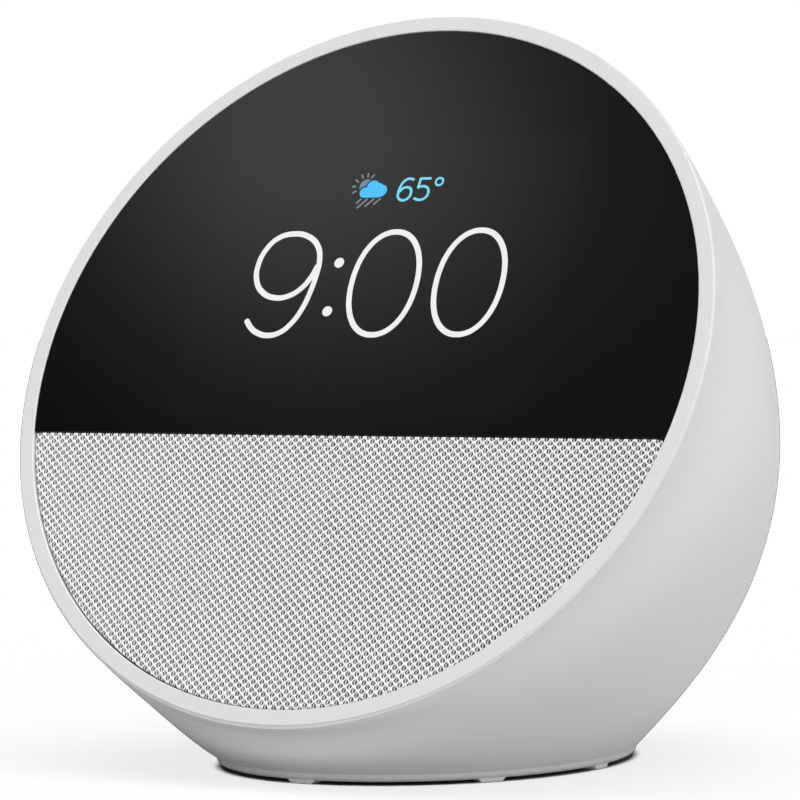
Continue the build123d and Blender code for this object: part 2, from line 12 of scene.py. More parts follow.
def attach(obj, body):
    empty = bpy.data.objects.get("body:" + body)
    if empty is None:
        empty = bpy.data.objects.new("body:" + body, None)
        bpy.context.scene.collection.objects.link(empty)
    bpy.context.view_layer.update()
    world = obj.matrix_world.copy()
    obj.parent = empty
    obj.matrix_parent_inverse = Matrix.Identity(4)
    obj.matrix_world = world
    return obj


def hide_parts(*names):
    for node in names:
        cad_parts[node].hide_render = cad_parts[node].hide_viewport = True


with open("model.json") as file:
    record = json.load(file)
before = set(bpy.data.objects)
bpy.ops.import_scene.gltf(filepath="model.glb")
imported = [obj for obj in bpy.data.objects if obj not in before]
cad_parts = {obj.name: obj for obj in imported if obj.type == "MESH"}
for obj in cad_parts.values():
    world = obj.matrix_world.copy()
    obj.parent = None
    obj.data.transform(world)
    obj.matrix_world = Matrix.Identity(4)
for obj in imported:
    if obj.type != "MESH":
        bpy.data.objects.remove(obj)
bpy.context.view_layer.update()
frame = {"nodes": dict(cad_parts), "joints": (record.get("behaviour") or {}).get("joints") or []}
NODES = frame["nodes"]
MM = 0.001

# ---- The face's frame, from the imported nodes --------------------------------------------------
# The loudspeaker's cone travels along the face's normal. The bezel's points give the face's
# level and its middle.
CONE_AXIS = next(j["axis"] for j in frame["joints"] if j["name"] == "cone_travel")
NORMAL = Vector(CONE_AXIS).normalized()
UP_FACE = Vector((0, NORMAL.z, -NORMAL.y))
bezel_points = [v.co for v in NODES["front_bezel"].data.vertices]
front_level = max(p.dot(NORMAL) for p in bezel_points)
mid_up = (
    max(p.dot(UP_FACE) for p in bezel_points) + min(p.dot(UP_FACE) for p in bezel_points)
) / 2
FACE_CENTRE = NORMAL * front_level + UP_FACE * mid_up
FACE = Matrix((
    (1, 0, 0, FACE_CENTRE.x),
    (0, UP_FACE.y, NORMAL.y, FACE_CENTRE.y),
    (0, UP_FACE.z, NORMAL.z, FACE_CENTRE.z),
    (0, 0, 0, 1),
))


def face_point(x, y, z=0.0):
    """A point of the face's frame, given in millimetres, in the row frame."""
    return FACE @ Vector((x * MM, y * MM, z * MM))


# ---- Materials --------------------------------------------------------------------------------
class Shader:
    """A node material with one Principled shader and short calls for the usual nodes."""

    def __init__(self, name, color, roughness=0.5, metallic=0.0, **sockets):
        self.material = bpy.data.materials.new(name)
        self.material.use_nodes = True
        self.tree = self.material.node_tree
        self.main = self.tree.nodes["Principled BSDF"]
        self.main.inputs["Base Color"].default_value = (*color, 1)
        self.main.inputs["Roughness"].default_value = roughness
        self.main.inputs["Metallic"].default_value = metallic
        for socket, value in sockets.items():
            self.main.inputs[socket.replace("_", " ")].default_value = value
        self.where = self.tree.nodes.new("ShaderNodeTexCoord").outputs["Object"]

    def node(self, kind, inputs=(), **settings):
        made = self.tree.nodes.new("ShaderNode" + kind)
        for name, value in settings.items():
            setattr(made, name, value)
        for key, value in dict(inputs).items():
            self.put(made.inputs[key], value)
        return made

    def put(self, socket, value):
        if isinstance(value, bpy.types.NodeSocket):
            self.tree.links.new(value, socket)
        else:
            socket.default_value = value

    def noise(self, scale, detail=4.0, roughness=0.5, stretch=None, distortion=0.0):
        where = self.where
        if stretch:
            where = self.node("Mapping", {"Vector": where, "Scale": stretch}).outputs[0]
        made = self.node(
            "TexNoise",
            {"Vector": where, "Scale": scale, "Detail": detail, "Roughness": roughness,
             "Distortion": distortion},
        )
        return made.outputs["Fac"]

    def ramp(self, value, *stops):
        made = self.node("ValToRGB", {"Fac": value})
        elements = made.color_ramp.elements
        while len(elements) < len(stops):
            elements.new(0.5)
        for element, (place, color) in zip(elements, stops):
            element.position = place
            element.color = (*color, 1) if len(color) == 3 else color
        return made.outputs["Color"]

    def span(self, value, low, high):
        """value, which runs from 0 to 1, taken to low to high."""
        return self.node(
            "MapRange", {"Value": value, "To Min": low, "To Max": high}
        ).outputs["Result"]

    def math(self, operation, first, second=0.5):
        made = self.node("Math", operation=operation)
        self.put(made.inputs[0], first)
        self.put(made.inputs[1], second)
        return made.outputs[0]

    def mix(self, amount, first, second):
        made = self.node("Mix", data_type="RGBA")
        self.put(made.inputs["Factor"], amount)
        self.put(made.inputs[6], first if not isinstance(first, tuple) else (*first, 1))
        self.put(made.inputs[7], second if not isinstance(second, tuple) else (*second, 1))
        return made.outputs[2]

    def color(self, value):
        self.put(self.main.inputs["Base Color"], value)

    def rough(self, value):
        self.put(self.main.inputs["Roughness"], value)

    def bump(self, height, distance, strength=1.0):
        made = self.node(
            "Bump", {"Height": height, "Distance": distance, "Strength": strength}
        )
        if self.main.inputs["Normal"].links:
            self.put(made.inputs["Normal"], self.main.inputs["Normal"].links[0].from_socket)
        self.put(self.main.inputs["Normal"], made.outputs[0])


def shade(color, factor):
    return tuple(min(1.0, c * factor) for c in color)


def moulded(name, color, roughness=0.5, grain=0.00002, vary=0.02, scale=5200, **sockets):
    """Moulded plastic: a fine spark-eroded grain, and slow changes of tone and gloss."""
    s = Shader(name, color, roughness, **sockets)
    broad = s.noise(28, 3)
    fine = s.noise(scale, 3, 0.6)
    s.color(s.mix(broad, shade(color, 1 - vary), shade(color, 1 + vary)))
    s.rough(s.span(s.noise(60, 3), roughness - 0.05, roughness + 0.05))
    s.bump(fine, grain)
    return s.material


def soft_rubber(name, color, roughness=0.8):
    s = Shader(name, color, roughness, Specular_IOR_Level=0.3)
    dust = s.noise(900, 5, 0.65)
    s.color(s.mix(dust, shade(color, 0.92), shade(color, 1.06)))
    s.rough(s.span(s.noise(240, 3), roughness - 0.08, roughness + 0.08))
    s.bump(s.noise(2600, 4, 0.6), 0.00003)
    return s.material


def brushed(name, color, roughness=0.32, stretch=(1, 30, 30), scale=160):
    """Sheet or turned metal with fine drawn lines."""
    s = Shader(name, color, roughness, 1.0)
    lines = s.noise(scale, 5, 0.7, stretch)
    s.color(s.mix(lines, shade(color, 0.86), shade(color, 1.08)))
    s.rough(s.span(lines, roughness - 0.08, roughness + 0.12))
    s.bump(lines, 0.00001)
    return s.material


def circuit(name, color=(0.012, 0.10, 0.055)):
    """Solder mask over copper: traces, plane areas and small gold pads."""
    s = Shader(name, color, 0.35, Coat_Weight=0.25)
    cells = s.node(
        "TexVoronoi", {"Vector": s.where, "Scale": 420}, feature="F1", distance="CHEBYCHEV"
    )
    plane = s.noise(90, 2)
    traces = s.ramp(cells.outputs["Distance"], (0.42, (0, 0, 0)), (0.46, (1, 1, 1)))
    copper = s.mix(traces, shade(color, 0.75), shade(color, 1.7))
    board = s.mix(s.ramp(plane, (0.48, (0, 0, 0)), (0.52, (1, 1, 1))), copper, shade(color, 1.3))
    dots = s.node("TexVoronoi", {"Vector": s.where, "Scale": 900, "Randomness": 0.6})
    pads = s.ramp(dots.outputs["Distance"], (0.10, (1, 1, 1)), (0.13, (0, 0, 0)))
    s.color(s.mix(pads, board, (0.72, 0.52, 0.22)))
    s.bump(cells.outputs["Distance"], 0.00002)
    return s.material


def striped(name, first, second, period, axis=(0, 0, 1), roughness=0.4, metallic=0.0):
    """Windings and printed lines: stripes of one period, in metres, along an axis."""
    s = Shader(name, first, roughness, metallic)
    along = s.node("VectorMath", {0: s.where, 1: axis}, operation="DOT_PRODUCT").outputs["Value"]
    wave = s.math("SINE", s.math("MULTIPLY", along, 2 * math.pi / period))
    level = s.math("MULTIPLY_ADD", wave, 0.5)
    level.node.inputs[2].default_value = 0.5
    wear = s.noise(300, 3)
    s.color(s.mix(level, first, second))
    s.rough(s.span(wear, roughness - 0.08, roughness + 0.1))
    s.bump(level, 0.00004)
    return s.material


SHELL = moulded("shell_white", (0.795, 0.807, 0.808), 0.46, 0.000012, 0.006)
BEZEL = moulded("bezel_white", (0.855, 0.866, 0.868), 0.42, 0.000008, 0.005)
KEY = moulded("key_white", (0.78, 0.785, 0.78), 0.5, 0.00001, 0.006)
BASE = moulded("base_grey_white", (0.60, 0.605, 0.60), 0.55, 0.00002, 0.02)
BLACK = moulded("black_moulding", (0.018, 0.018, 0.019), 0.5, 0.00002, 0.12, 3000)
FOOT = soft_rubber("pale_foot_rubber", (0.70, 0.705, 0.70))
FOAM = soft_rubber("black_foam", (0.03, 0.03, 0.031), 0.95)
LEAD = soft_rubber("lead_sheath", (0.02, 0.02, 0.02), 0.6)
PAD = soft_rubber("gap_pad", (0.30, 0.36, 0.45), 0.7)
STEEL = brushed("pressed_steel", (0.58, 0.59, 0.61))
POLE = brushed("plated_poles", (0.50, 0.51, 0.53), 0.28, (30, 30, 1), 110)
SCREW = brushed("screw_steel", (0.36, 0.36, 0.38), 0.36, (40, 40, 4), 260)
SINK = brushed("sink_aluminium", (0.75, 0.76, 0.78), 0.38, (30, 1, 30), 120)
CAN = brushed("tinned_sheet", (0.70, 0.71, 0.72), 0.3)
CONTACT = brushed("bright_contact", (0.83, 0.62, 0.30), 0.22, (30, 1, 30), 300)
BOARD = circuit("green_board")
COIL = striped("copper_winding", (0.60, 0.24, 0.10), (0.85, 0.42, 0.20), 0.00018,
               tuple(NORMAL), 0.3, 0.9)
FLEX = striped("flex_traces", (0.50, 0.22, 0.035), (0.30, 0.12, 0.02), 0.0006, (1, 0, 0), 0.35)


def chip_material():
    """Black moulded resin with lighter specks."""
    s = Shader("chip_resin", (0.02, 0.02, 0.022), 0.55)
    specks = s.ramp(s.noise(5200, 2), (0.62, (0.02, 0.02, 0.022)), (0.72, (0.09, 0.09, 0.095)))
    s.color(specks)
    s.rough(s.span(s.noise(200, 2), 0.48, 0.66))
    s.bump(s.noise(4200, 3), 0.00001)
    return s.material


def ferrite_material():
    """Sintered ferrite, dark and slightly crystalline."""
    s = Shader("ferrite", (0.05, 0.05, 0.053), 0.45)
    grain = s.node("TexVoronoi", {"Vector": s.where, "Scale": 1800}).outputs["Color"]
    s.color(s.mix(s.noise(900, 3), (0.035, 0.035, 0.038), (0.085, 0.085, 0.09)))
    s.rough(s.span(s.noise(1300, 2), 0.35, 0.6))
    s.bump(grain, 0.00002)
    return s.material


def cone_material():
    """Pressed paper cone with fibres and a thin coating."""
    s = Shader("cone_paper", (0.03, 0.03, 0.032), 0.7, Coat_Weight=0.15)
    fibres = s.noise(1500, 6, 0.75, None, 1.5)
    s.color(s.mix(fibres, (0.018, 0.018, 0.02), (0.06, 0.06, 0.062)))
    s.rough(s.span(fibres, 0.6, 0.8))
    s.bump(fibres, 0.00004)
    return s.material


def spider_material():
    """Resin-dipped woven cloth."""
    s = Shader("spider_cloth", (0.50, 0.33, 0.12), 0.75)
    weave = s.math("MULTIPLY", s.noise(2600, 1, 0.5, (1, 0.1, 1)), s.noise(2600, 1, 0.5, (0.1, 1, 1)))
    s.color(s.mix(weave, (0.30, 0.19, 0.06), (0.72, 0.50, 0.22)))
    s.rough(s.span(weave, 0.9, 0.6))
    s.bump(weave, 0.00004)
    return s.material


def light_guide_material():
    """White diffusing plastic with the guide's dot print showing faintly."""
    s = Shader("light_guide", (0.80, 0.82, 0.85), 0.3, Coat_Weight=0.3)
    dots = s.node("TexVoronoi", {"Vector": s.where, "Scale": 1400, "Randomness": 0.0})
    level = s.ramp(dots.outputs["Distance"], (0.2, (0.88, 0.9, 0.92)), (0.32, (0.74, 0.77, 0.82)))
    s.color(level)
    s.rough(s.span(s.noise(80, 2), 0.25, 0.35))
    s.bump(dots.outputs["Distance"], 0.000006)
    return s.material


def panel_material():
    """The unlit display panel: dark, with its fine pixel grid."""
    s = Shader("panel_dark", (0.012, 0.014, 0.02), 0.25, Coat_Weight=0.4)
    dots = s.node("TexVoronoi", {"Vector": s.where, "Scale": 8000, "Randomness": 0.0},
                  distance="CHEBYCHEV")
    cell, gap = (0.016, 0.018, 0.026), (0.004, 0.004, 0.005)
    s.color(s.ramp(dots.outputs["Distance"], (0.35, cell), (0.45, gap)))
    s.rough(s.span(s.noise(90, 2), 0.2, 0.3))
    return s.material


GLOW_X, GLOW_Y = (-30.5, 30.5), (-9.2, 36.5)  # the display's lit area in the face's frame
GLOW_EDGE, GLOW = 0.00015, 0.0010  # half width of its soft edge in metres, and its strength


def glass_material():
    """Black cover glass: deep black print under polished glass, with a trace of smear."""
    s = Shader("cover_glass_black", (0.001, 0.001, 0.001), 0.06, IOR=1.5,
               Specular_IOR_Level=0.5)
    smear = s.noise(35, 4, 0.6, (1, 1, 2.2), 0.6)
    s.color(s.mix(smear, (0.0008, 0.0008, 0.0009), (0.0014, 0.0014, 0.0015)))
    s.rough(s.span(smear, 0.045, 0.07))
    # the display area behind the glass glows a little
    place = s.node("VectorMath", {0: s.where, 1: tuple(FACE_CENTRE)}, operation="SUBTRACT")
    inside = 1.0
    for axis, low, high in (((1, 0, 0), *GLOW_X), (tuple(UP_FACE), *GLOW_Y)):
        value = s.node("VectorMath", {0: place.outputs[0], 1: axis}, operation="DOT_PRODUCT")
        for edge, way in ((low * MM, 1), (high * MM, -1)):
            step = s.node("MapRange", {
                0: value.outputs["Value"], 1: edge - way * GLOW_EDGE, 2: edge + way * GLOW_EDGE,
                3: 0.0, 4: 1.0,
            }).outputs[0]
            inside = s.math("MULTIPLY", inside, step)
    s.main.inputs["Emission Color"].default_value = (0.95, 0.98, 1.0, 1)
    s.put(s.main.inputs["Emission Strength"], s.math("MULTIPLY", inside, GLOW))
    return s.material


GLASS = glass_material()
CHIP = chip_material()
MATERIAL_OF = {
    "rear_shell": SHELL, "front_bezel": BEZEL, "base_plate": BASE, "foot_ring": FOOT,
    "cover_glass": GLASS, "display_panel": panel_material(), "backlight_unit": light_guide_material(),
    "speaker_cone": cone_material(), "speaker_spider": spider_material(),
    "speaker_magnet": ferrite_material(), "voice_coil": COIL, "board_chips": CHIP,
    "heat_sink": SINK, "thermal_pad": PAD, "jack_pin": CONTACT, "soc_shield": CAN,
    "microphones": CAN, "tact_switches": STEEL, "display_bracket": STEEL, "speaker_basket": STEEL,
    "speaker_top_plate": POLE, "speaker_yoke": POLE,
}
MATERIAL_OF["dust_cap"] = MATERIAL_OF["speaker_cone"]
for node_name in ("volume_down_button", "mic_off_button", "volume_up_button"):
    MATERIAL_OF[node_name] = KEY
for node_name in ("glass_adhesive", "speaker_gasket", "speaker_surround", "mic_boots"):
    MATERIAL_OF[node_name] = FOAM
for node_name in ("main_board", "antenna_board", "button_board", "jack_board"):
    MATERIAL_OF[node_name] = BOARD
for node_name in ("display_flex", "button_flex"):
    MATERIAL_OF[node_name] = FLEX
for node_name in ("power_lead", "speaker_lead"):
    MATERIAL_OF[node_name] = LEAD
for node_name in NODES:
    if node_name.endswith("screws"):
        MATERIAL_OF[node_name] = SCREW
    MATERIAL_OF.setdefault(node_name, BLACK)


def dress(obj, material):
    obj.data.materials.clear()
    obj.data.materials.append(material)
    for polygon in getattr(obj.data, "polygons", ()):
        polygon.material_index = 0


for node_name, node in NODES.items():
    dress(node, MATERIAL_OF[node_name])


# ---- Pieces -----------------------------------------------------------------------------------
def piece(name, mesh, material, body="housing", smooth=True):
    """A new piece from a mesh in the row frame, riding on a body."""
    obj = bpy.data.objects.new(name, mesh)
    bpy.context.scene.collection.objects.link(obj)
    dress(obj, material)
    if smooth:
        mesh.polygons.foreach_set("use_smooth", [True] * len(mesh.polygons))
    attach(obj, body)
    return obj


def mesh_from(name, points, faces):
    mesh = bpy.data.meshes.new(name)
    mesh.from_pydata([tuple(p) for p in points], [], [tuple(f) for f in faces])
    mesh.update()
    return mesh


# ---- Knitted grille ---------------------------------------------------------------------------
KNIT_W, KNIT_H = 1.434, 1.235  # one repeat of the knit, across and up
CHORD_Y = -12.12  # the cloth's straight upper edge
CLOTH_R, CORNER_R = 53.88, 0.8
CLOTH_FRONT, CLOTH_BACK = -0.14, -0.93
NET_DIP, HOLE_DEPTH, STRAND_RISE = 0.10, 0.50, 0.38  # relief of the net, openings and loops
RIM_ROLL, RIM_BAND = 0.34, 0.45  # how far the cloth turns back at its rim, and over what width
STEP_X, STEP_Y = KNIT_W / 12, KNIT_H / 12  # size of the grille's mesh
HOLE_W, HOLE_H = 0.40, 0.43  # half sizes of an opening
HOLE_LEAN, HOLE_POWER = -0.03, 1.6  # its lean, and how square it is
HOLE_EDGE, HOLE_SOFT = 0.98, 0.06  # its edge as a share of its half size, and the edge's softness
NET_REACH = 0.42  # how far the net's dip reaches from an opening, in its half sizes
# the loop seen through an opening: its place, bend and half width
STRAND_X, STRAND_BOW, STRAND_W = -0.07, 1.1, 0.11
YARN_DRIFT, YARN_CELL = 0.045, 0.9  # how far single loops wander, and over what length
CLOTH_DRIFT, CLOTH_CELL = 0.10, 9.0  # the same for the cloth as a whole
FADE_BAND, FADE_LEAST = 0.30, 0.35  # the relief sinks to this share over this width of the rim
THINNEST = 0.05  # least thickness of the cloth
NOISE_CELLS = 160  # cells along a side of the random table


def smooth_noise(x, y, cell, seed):
    """Smooth random values of about -1 to 1 over a grid of a given cell."""
    table = np.random.default_rng(seed).uniform(-1, 1, (NOISE_CELLS, NOISE_CELLS))
    i, j = x / cell + NOISE_CELLS / 2, y / cell + NOISE_CELLS / 2
    i0, j0 = np.floor(i).astype(int), np.floor(j).astype(int)
    fi, fj = i - i0, j - j0
    fi, fj = fi * fi * (3 - 2 * fi), fj * fj * (3 - 2 * fj)
    i0, j0 = np.clip(i0, 0, NOISE_CELLS - 2), np.clip(j0, 0, NOISE_CELLS - 2)
    low = table[i0, j0] * (1 - fi) + table[i0 + 1, j0] * fi
    high = table[i0, j0 + 1] * (1 - fi) + table[i0 + 1, j0 + 1] * fi
    return low * (1 - fj) + high * fj


def knit_depth(u, v):
    """How far the knit lies behind its highest points, at arrays u, v in millimetres."""
    best = np.full(u.shape, np.inf)
    across = np.zeros(u.shape)
    level = np.zeros(u.shape)
    for shift in (0.0, 0.5):
        x = ((u / KNIT_W + shift) % 1.0 - 0.5) * KNIT_W
        y = ((v / KNIT_H + shift) % 1.0 - 0.5) * KNIT_H
        x = x - HOLE_LEAN * y
        reach = np.abs(x / HOLE_W) ** HOLE_POWER + np.abs(y / HOLE_H) ** HOLE_POWER
        d = reach ** (1 / HOLE_POWER)
        closer = d < best
        best = np.where(closer, d, best)
        across = np.where(closer, x, across)
        level = np.where(closer, y, level)
    opening = 1 / (1 + np.exp((best - HOLE_EDGE) / HOLE_SOFT))
    net = NET_DIP * np.clip(1 - (best - 1.0) / NET_REACH, 0, 1) ** 2
    off = across - STRAND_X - STRAND_BOW * level * level
    strand = np.exp(-((off / STRAND_W) ** 2))
    return net * (1 - opening) + (HOLE_DEPTH - STRAND_RISE * strand) * opening


def cloth_edge_distance(x, y):
    """How far a point lies inside the cloth's outline, which has rounded upper corners."""
    top = CHORD_Y - y
    rim = CLOTH_R - np.hypot(x, y)
    near = np.minimum(top, rim)
    r = CORNER_R
    both = (top < r) & (rim < r)
    rounded = r - np.hypot(r - top, r - rim)
    return np.where(both, rounded, near)


def build_grille():
    """The cloth as a closed mesh: knitted relief in front, and a flat back."""
    nx = 2 * int(CLOTH_R / STEP_X + 1) + 1
    ys = np.arange(CHORD_Y + 0.05, -CLOTH_R - 0.1, -STEP_Y)
    xs = (np.arange(nx) - (nx - 1) / 2) * STEP_X
    gx, gy = np.meshgrid(xs, ys)
    inside = cloth_edge_distance(gx, gy)
    # pull the outermost points on to the outline
    keep = inside > -STEP_X * 0.9
    for _ in range(3):
        e = 1e-3
        fx = (cloth_edge_distance(gx + e, gy) - inside) / e
        fy = (cloth_edge_distance(gx, gy + e) - inside) / e
        push = np.where(keep & (inside < 0), -inside, 0)
        gx = gx + fx * push
        gy = gy + fy * push
        inside = cloth_edge_distance(gx, gy)
    u, v = (
        g + YARN_DRIFT * smooth_noise(gx, gy, YARN_CELL, seed)
        + CLOTH_DRIFT * smooth_noise(gx, gy, CLOTH_CELL, seed + 1)
        for g, seed in ((gx, 3), (gy, 5))
    )
    depth = knit_depth(u, v)
    fade = FADE_LEAST + (1 - FADE_LEAST) * np.clip(inside / FADE_BAND, 0, 1)
    inward = 1 - np.clip(inside / RIM_BAND, 0, 1)
    roll = RIM_ROLL * (1 - np.sqrt(np.clip(1 - inward ** 2, 0, 1)))
    depth = np.clip(depth * fade + roll, 0.0, CLOTH_FRONT - CLOTH_BACK - THINNEST)
    index = np.full(gx.shape, -1)
    index[keep] = np.arange(keep.sum())
    local = np.stack([gx[keep] * MM, gy[keep] * MM, (CLOTH_FRONT - depth[keep]) * MM,
                      np.ones(keep.sum())])
    points = (np.array(FACE) @ local)[:3].T
    quad = np.stack([index[:-1, :-1], index[1:, :-1], index[1:, 1:], index[:-1, 1:]], -1)
    quad = quad[(quad >= 0).all(-1)]
    # the back and the side wall close the sheet
    count = len(points)
    edges = {}
    for a, b in ((0, 1), (1, 2), (2, 3), (3, 0)):
        for p, q in quad[:, [a, b]].tolist():
            if (q, p) in edges:
                del edges[(q, p)]
            else:
                edges[(p, q)] = True
    rim_ids = sorted({p for e in edges for p in e})
    back_of = {p: count + i for i, p in enumerate(rim_ids)}
    back_local = local[:, rim_ids].copy()
    back_local[2] = CLOTH_BACK * MM
    back = (np.array(FACE) @ back_local)[:3].T
    centre_local = np.array([0, (CHORD_Y - 20) * MM, CLOTH_BACK * MM, 1.0])
    centre = (np.array(FACE) @ centre_local)[:3]
    all_points = np.vstack([points, back, centre[None]])
    walls = [(p, back_of[p], back_of[q], q) for p, q in edges]
    caps = [(back_of[q], back_of[p], count + len(rim_ids)) for p, q in edges]
    mesh = mesh_from("knit", all_points, [*quad.tolist(), *walls, *caps])
    for label, values in (("u", u[keep]), ("v", v[keep])):
        layer = mesh.attributes.new(label, "FLOAT", "POINT")
        full = np.zeros(len(all_points), np.float32)
        full[:count] = values
        layer.data.foreach_set("value", full)
    return mesh


YARN_PAINTED_GLOW = 0.13  # painted glow: light that the yarn gives off, to look brighter than plain white


def knit_material():
    """Pale net of yarn with a painted glow, and a loop of the greyer layer behind in each of its
    openings, with painted shade on either side of the loop.
    """
    s = Shader("pale_knit", (0.9, 0.9, 0.9), 0.85, Sheen_Weight=0.2, Sheen_Roughness=0.5,
               Specular_IOR_Level=0.2)
    u = s.node("Attribute", attribute_name="u").outputs["Fac"]
    v = s.node("Attribute", attribute_name="v").outputs["Fac"]
    found = []
    for shift in (0.0, 0.5):
        cells = []
        for value, size in ((u, KNIT_W), (v, KNIT_H)):
            place = s.math("ADD", s.math("DIVIDE", value, size), shift)
            part = s.math("SUBTRACT", s.math("FLOORED_MODULO", place, 1.0), 0.5)
            cells.append((s.math("MULTIPLY", part, size), s.math("FLOOR", place)))
        (x, column), (y, row) = cells
        x = s.math("SUBTRACT", x, s.math("MULTIPLY", y, HOLE_LEAN))
        reach = [
            s.math("POWER", s.math("DIVIDE", s.math("ABSOLUTE", value), half), HOLE_POWER)
            for value, half in ((x, HOLE_W), (y, HOLE_H))
        ]
        d = s.math("POWER", s.math("ADD", *reach), 1 / HOLE_POWER)
        key = s.math("ADD", s.math("MULTIPLY", column, 7.31), s.math("MULTIPLY", row, 3.77))
        found.append((d, x, y, s.math("ADD", key, shift)))
    first, second = found
    nearer = s.math("LESS_THAN", second[0], first[0])

    def pick(a, b):
        return s.node("Mix", {0: nearer, 2: a, 3: b}).outputs[0]

    d, x, y, key = (pick(a, b) for a, b in zip(first, second))
    chance = s.node("TexWhiteNoise", {"W": key}, noise_dimensions="1D").outputs["Value"]
    opening = s.node("MapRange", {0: d, 1: 1.05, 2: 0.95, 3: 0.0, 4: 1.0}).outputs[0]
    bend = s.math("MULTIPLY", s.math("MULTIPLY", y, y), STRAND_BOW)
    off = s.math("SUBTRACT", s.math("SUBTRACT", x, STRAND_X), bend)
    side = s.math("ADD", s.math("DIVIDE", off, 2 * HOLE_W), 0.5)
    # painted shade: the loop of yarn in each opening keeps its own pale colour, but the dark bands on
    # either side of it are shade painted into the opening's recess
    loop_with_painted_shade = s.ramp(
        side, (0.06, (0.12,) * 3), (0.24, (0.05,) * 3), (0.33, (0.97,) * 3), (0.57, (0.97,) * 3),
        (0.67, (0.012,) * 3), (0.92, (0.008,) * 3), (1.0, (0.22,) * 3),
    )
    ends = s.node(
        "MapRange", {0: s.math("ABSOLUTE", y), 1: 0.22, 2: 0.44, 3: 0.0, 4: 0.75}
    ).outputs[0]
    behind_with_painted_shade = s.mix(ends, loop_with_painted_shade, (0.44, 0.445, 0.44))
    behind_with_painted_shade = s.mix(s.math("MULTIPLY", chance, 0.4), behind_with_painted_shade, (0.14, 0.14, 0.14))
    fibres = s.noise(6500, 4, 0.7, None, 0.8)
    yarn = s.mix(fibres, (0.93, 0.935, 0.93), (0.99, 0.99, 0.985))
    s.color(s.mix(opening, yarn, behind_with_painted_shade))
    # painted glow: the net's yarn, which is no lamp, gives off light so that it looks brighter than
    # plain white
    s.main.inputs["Emission Color"].default_value = (1, 1, 1, 1)
    s.put(s.main.inputs["Emission Strength"], s.span(opening, YARN_PAINTED_GLOW, 0.0))
    s.rough(s.span(fibres, 0.75, 0.95))
    s.bump(fibres, 0.00003, 0.5)
    return s.material


grille = piece("knitted_grille", build_grille(), knit_material())
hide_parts("grille_fabric")


# ---- What the display shows ---------------------------------------------------------------------
GLASS_FRONT = -0.14
INK, SUNK = 0.02, 0.02  # how far a lit mark stands proud of the glass, and reaches into it


def lit(name, color, vary=0.03):
    """A lit part of the display: emission with a faint pixel grid, under a polished surface."""
    s = Shader(name, (0.0, 0.0, 0.0), 0.08, Specular_IOR_Level=0.5)
    grid = s.noise(2400, 1)
    s.put(
        s.main.inputs["Emission Color"],
        s.mix(grid, shade(color, 1 - vary), shade(color, 1 + vary)),
    )
    s.main.inputs["Emission Strength"].default_value = 1.0
    return s.material


CAP = 9  # points round each end of a stroke


def stroke(points, width, closed=False, samples=8):
    """The sides of a band along a smooth line: two rings, or one outline with round ends."""
    curve = bpy.data.curves.new("stroke", "CURVE")
    curve.dimensions = "2D"
    spline = curve.splines.new("BEZIER")
    spline.bezier_points.add(len(points) - 1)
    for knot, p in zip(spline.bezier_points, points):
        knot.co = (p[0], p[1], 0)
        knot.handle_left_type = knot.handle_right_type = "AUTO"
    spline.use_cyclic_u = closed
    spline.resolution_u = samples
    holder = bpy.data.objects.new("stroke", curve)
    line = bpy.data.meshes.new_from_object(holder)
    path = [v.co.copy() for v in line.vertices]
    bpy.data.objects.remove(holder)
    half = width / 2
    n = len(path)
    left, right = [], []
    for i, p in enumerate(path):
        a = path[i - 1] if closed or i else p
        b = path[(i + 1) % n] if closed or i < n - 1 else p
        t = (b - a).normalized()
        side = Vector((-t.y, t.x, 0)) * half
        left.append(p + side)
        right.append(p - side)
    if closed:
        return left, right
    t0 = (path[1] - path[0]).normalized()
    t1 = (path[-1] - path[-2]).normalized()
    turns = [math.pi / 2 - math.pi * k / (CAP + 1) for k in range(1, CAP + 1)]
    side = Vector((-t1.y, t1.x, 0))
    outline = left + [path[-1] + (t1 * math.cos(a) + side * math.sin(a)) * half for a in turns]
    outline += reversed(right)
    side = Vector((-t0.y, t0.x, 0))
    outline += [path[0] - (t0 * math.cos(a) + side * math.sin(a)) * half for a in turns]
    return outline


def sound_mesh(name, points, faces):
    """A closed mesh whose faces all point outward, with no face of more than four corners."""
    mesh = mesh_from(name, points, faces)
    work = bmesh.new()
    work.from_mesh(mesh)
    bmesh.ops.recalc_face_normals(work, faces=work.faces)
    big = [f for f in work.faces if len(f.verts) > 4]
    bmesh.ops.triangulate(work, faces=big, ngon_method="EAR_CLIP")
    work.to_mesh(mesh)
    work.free()
    return mesh


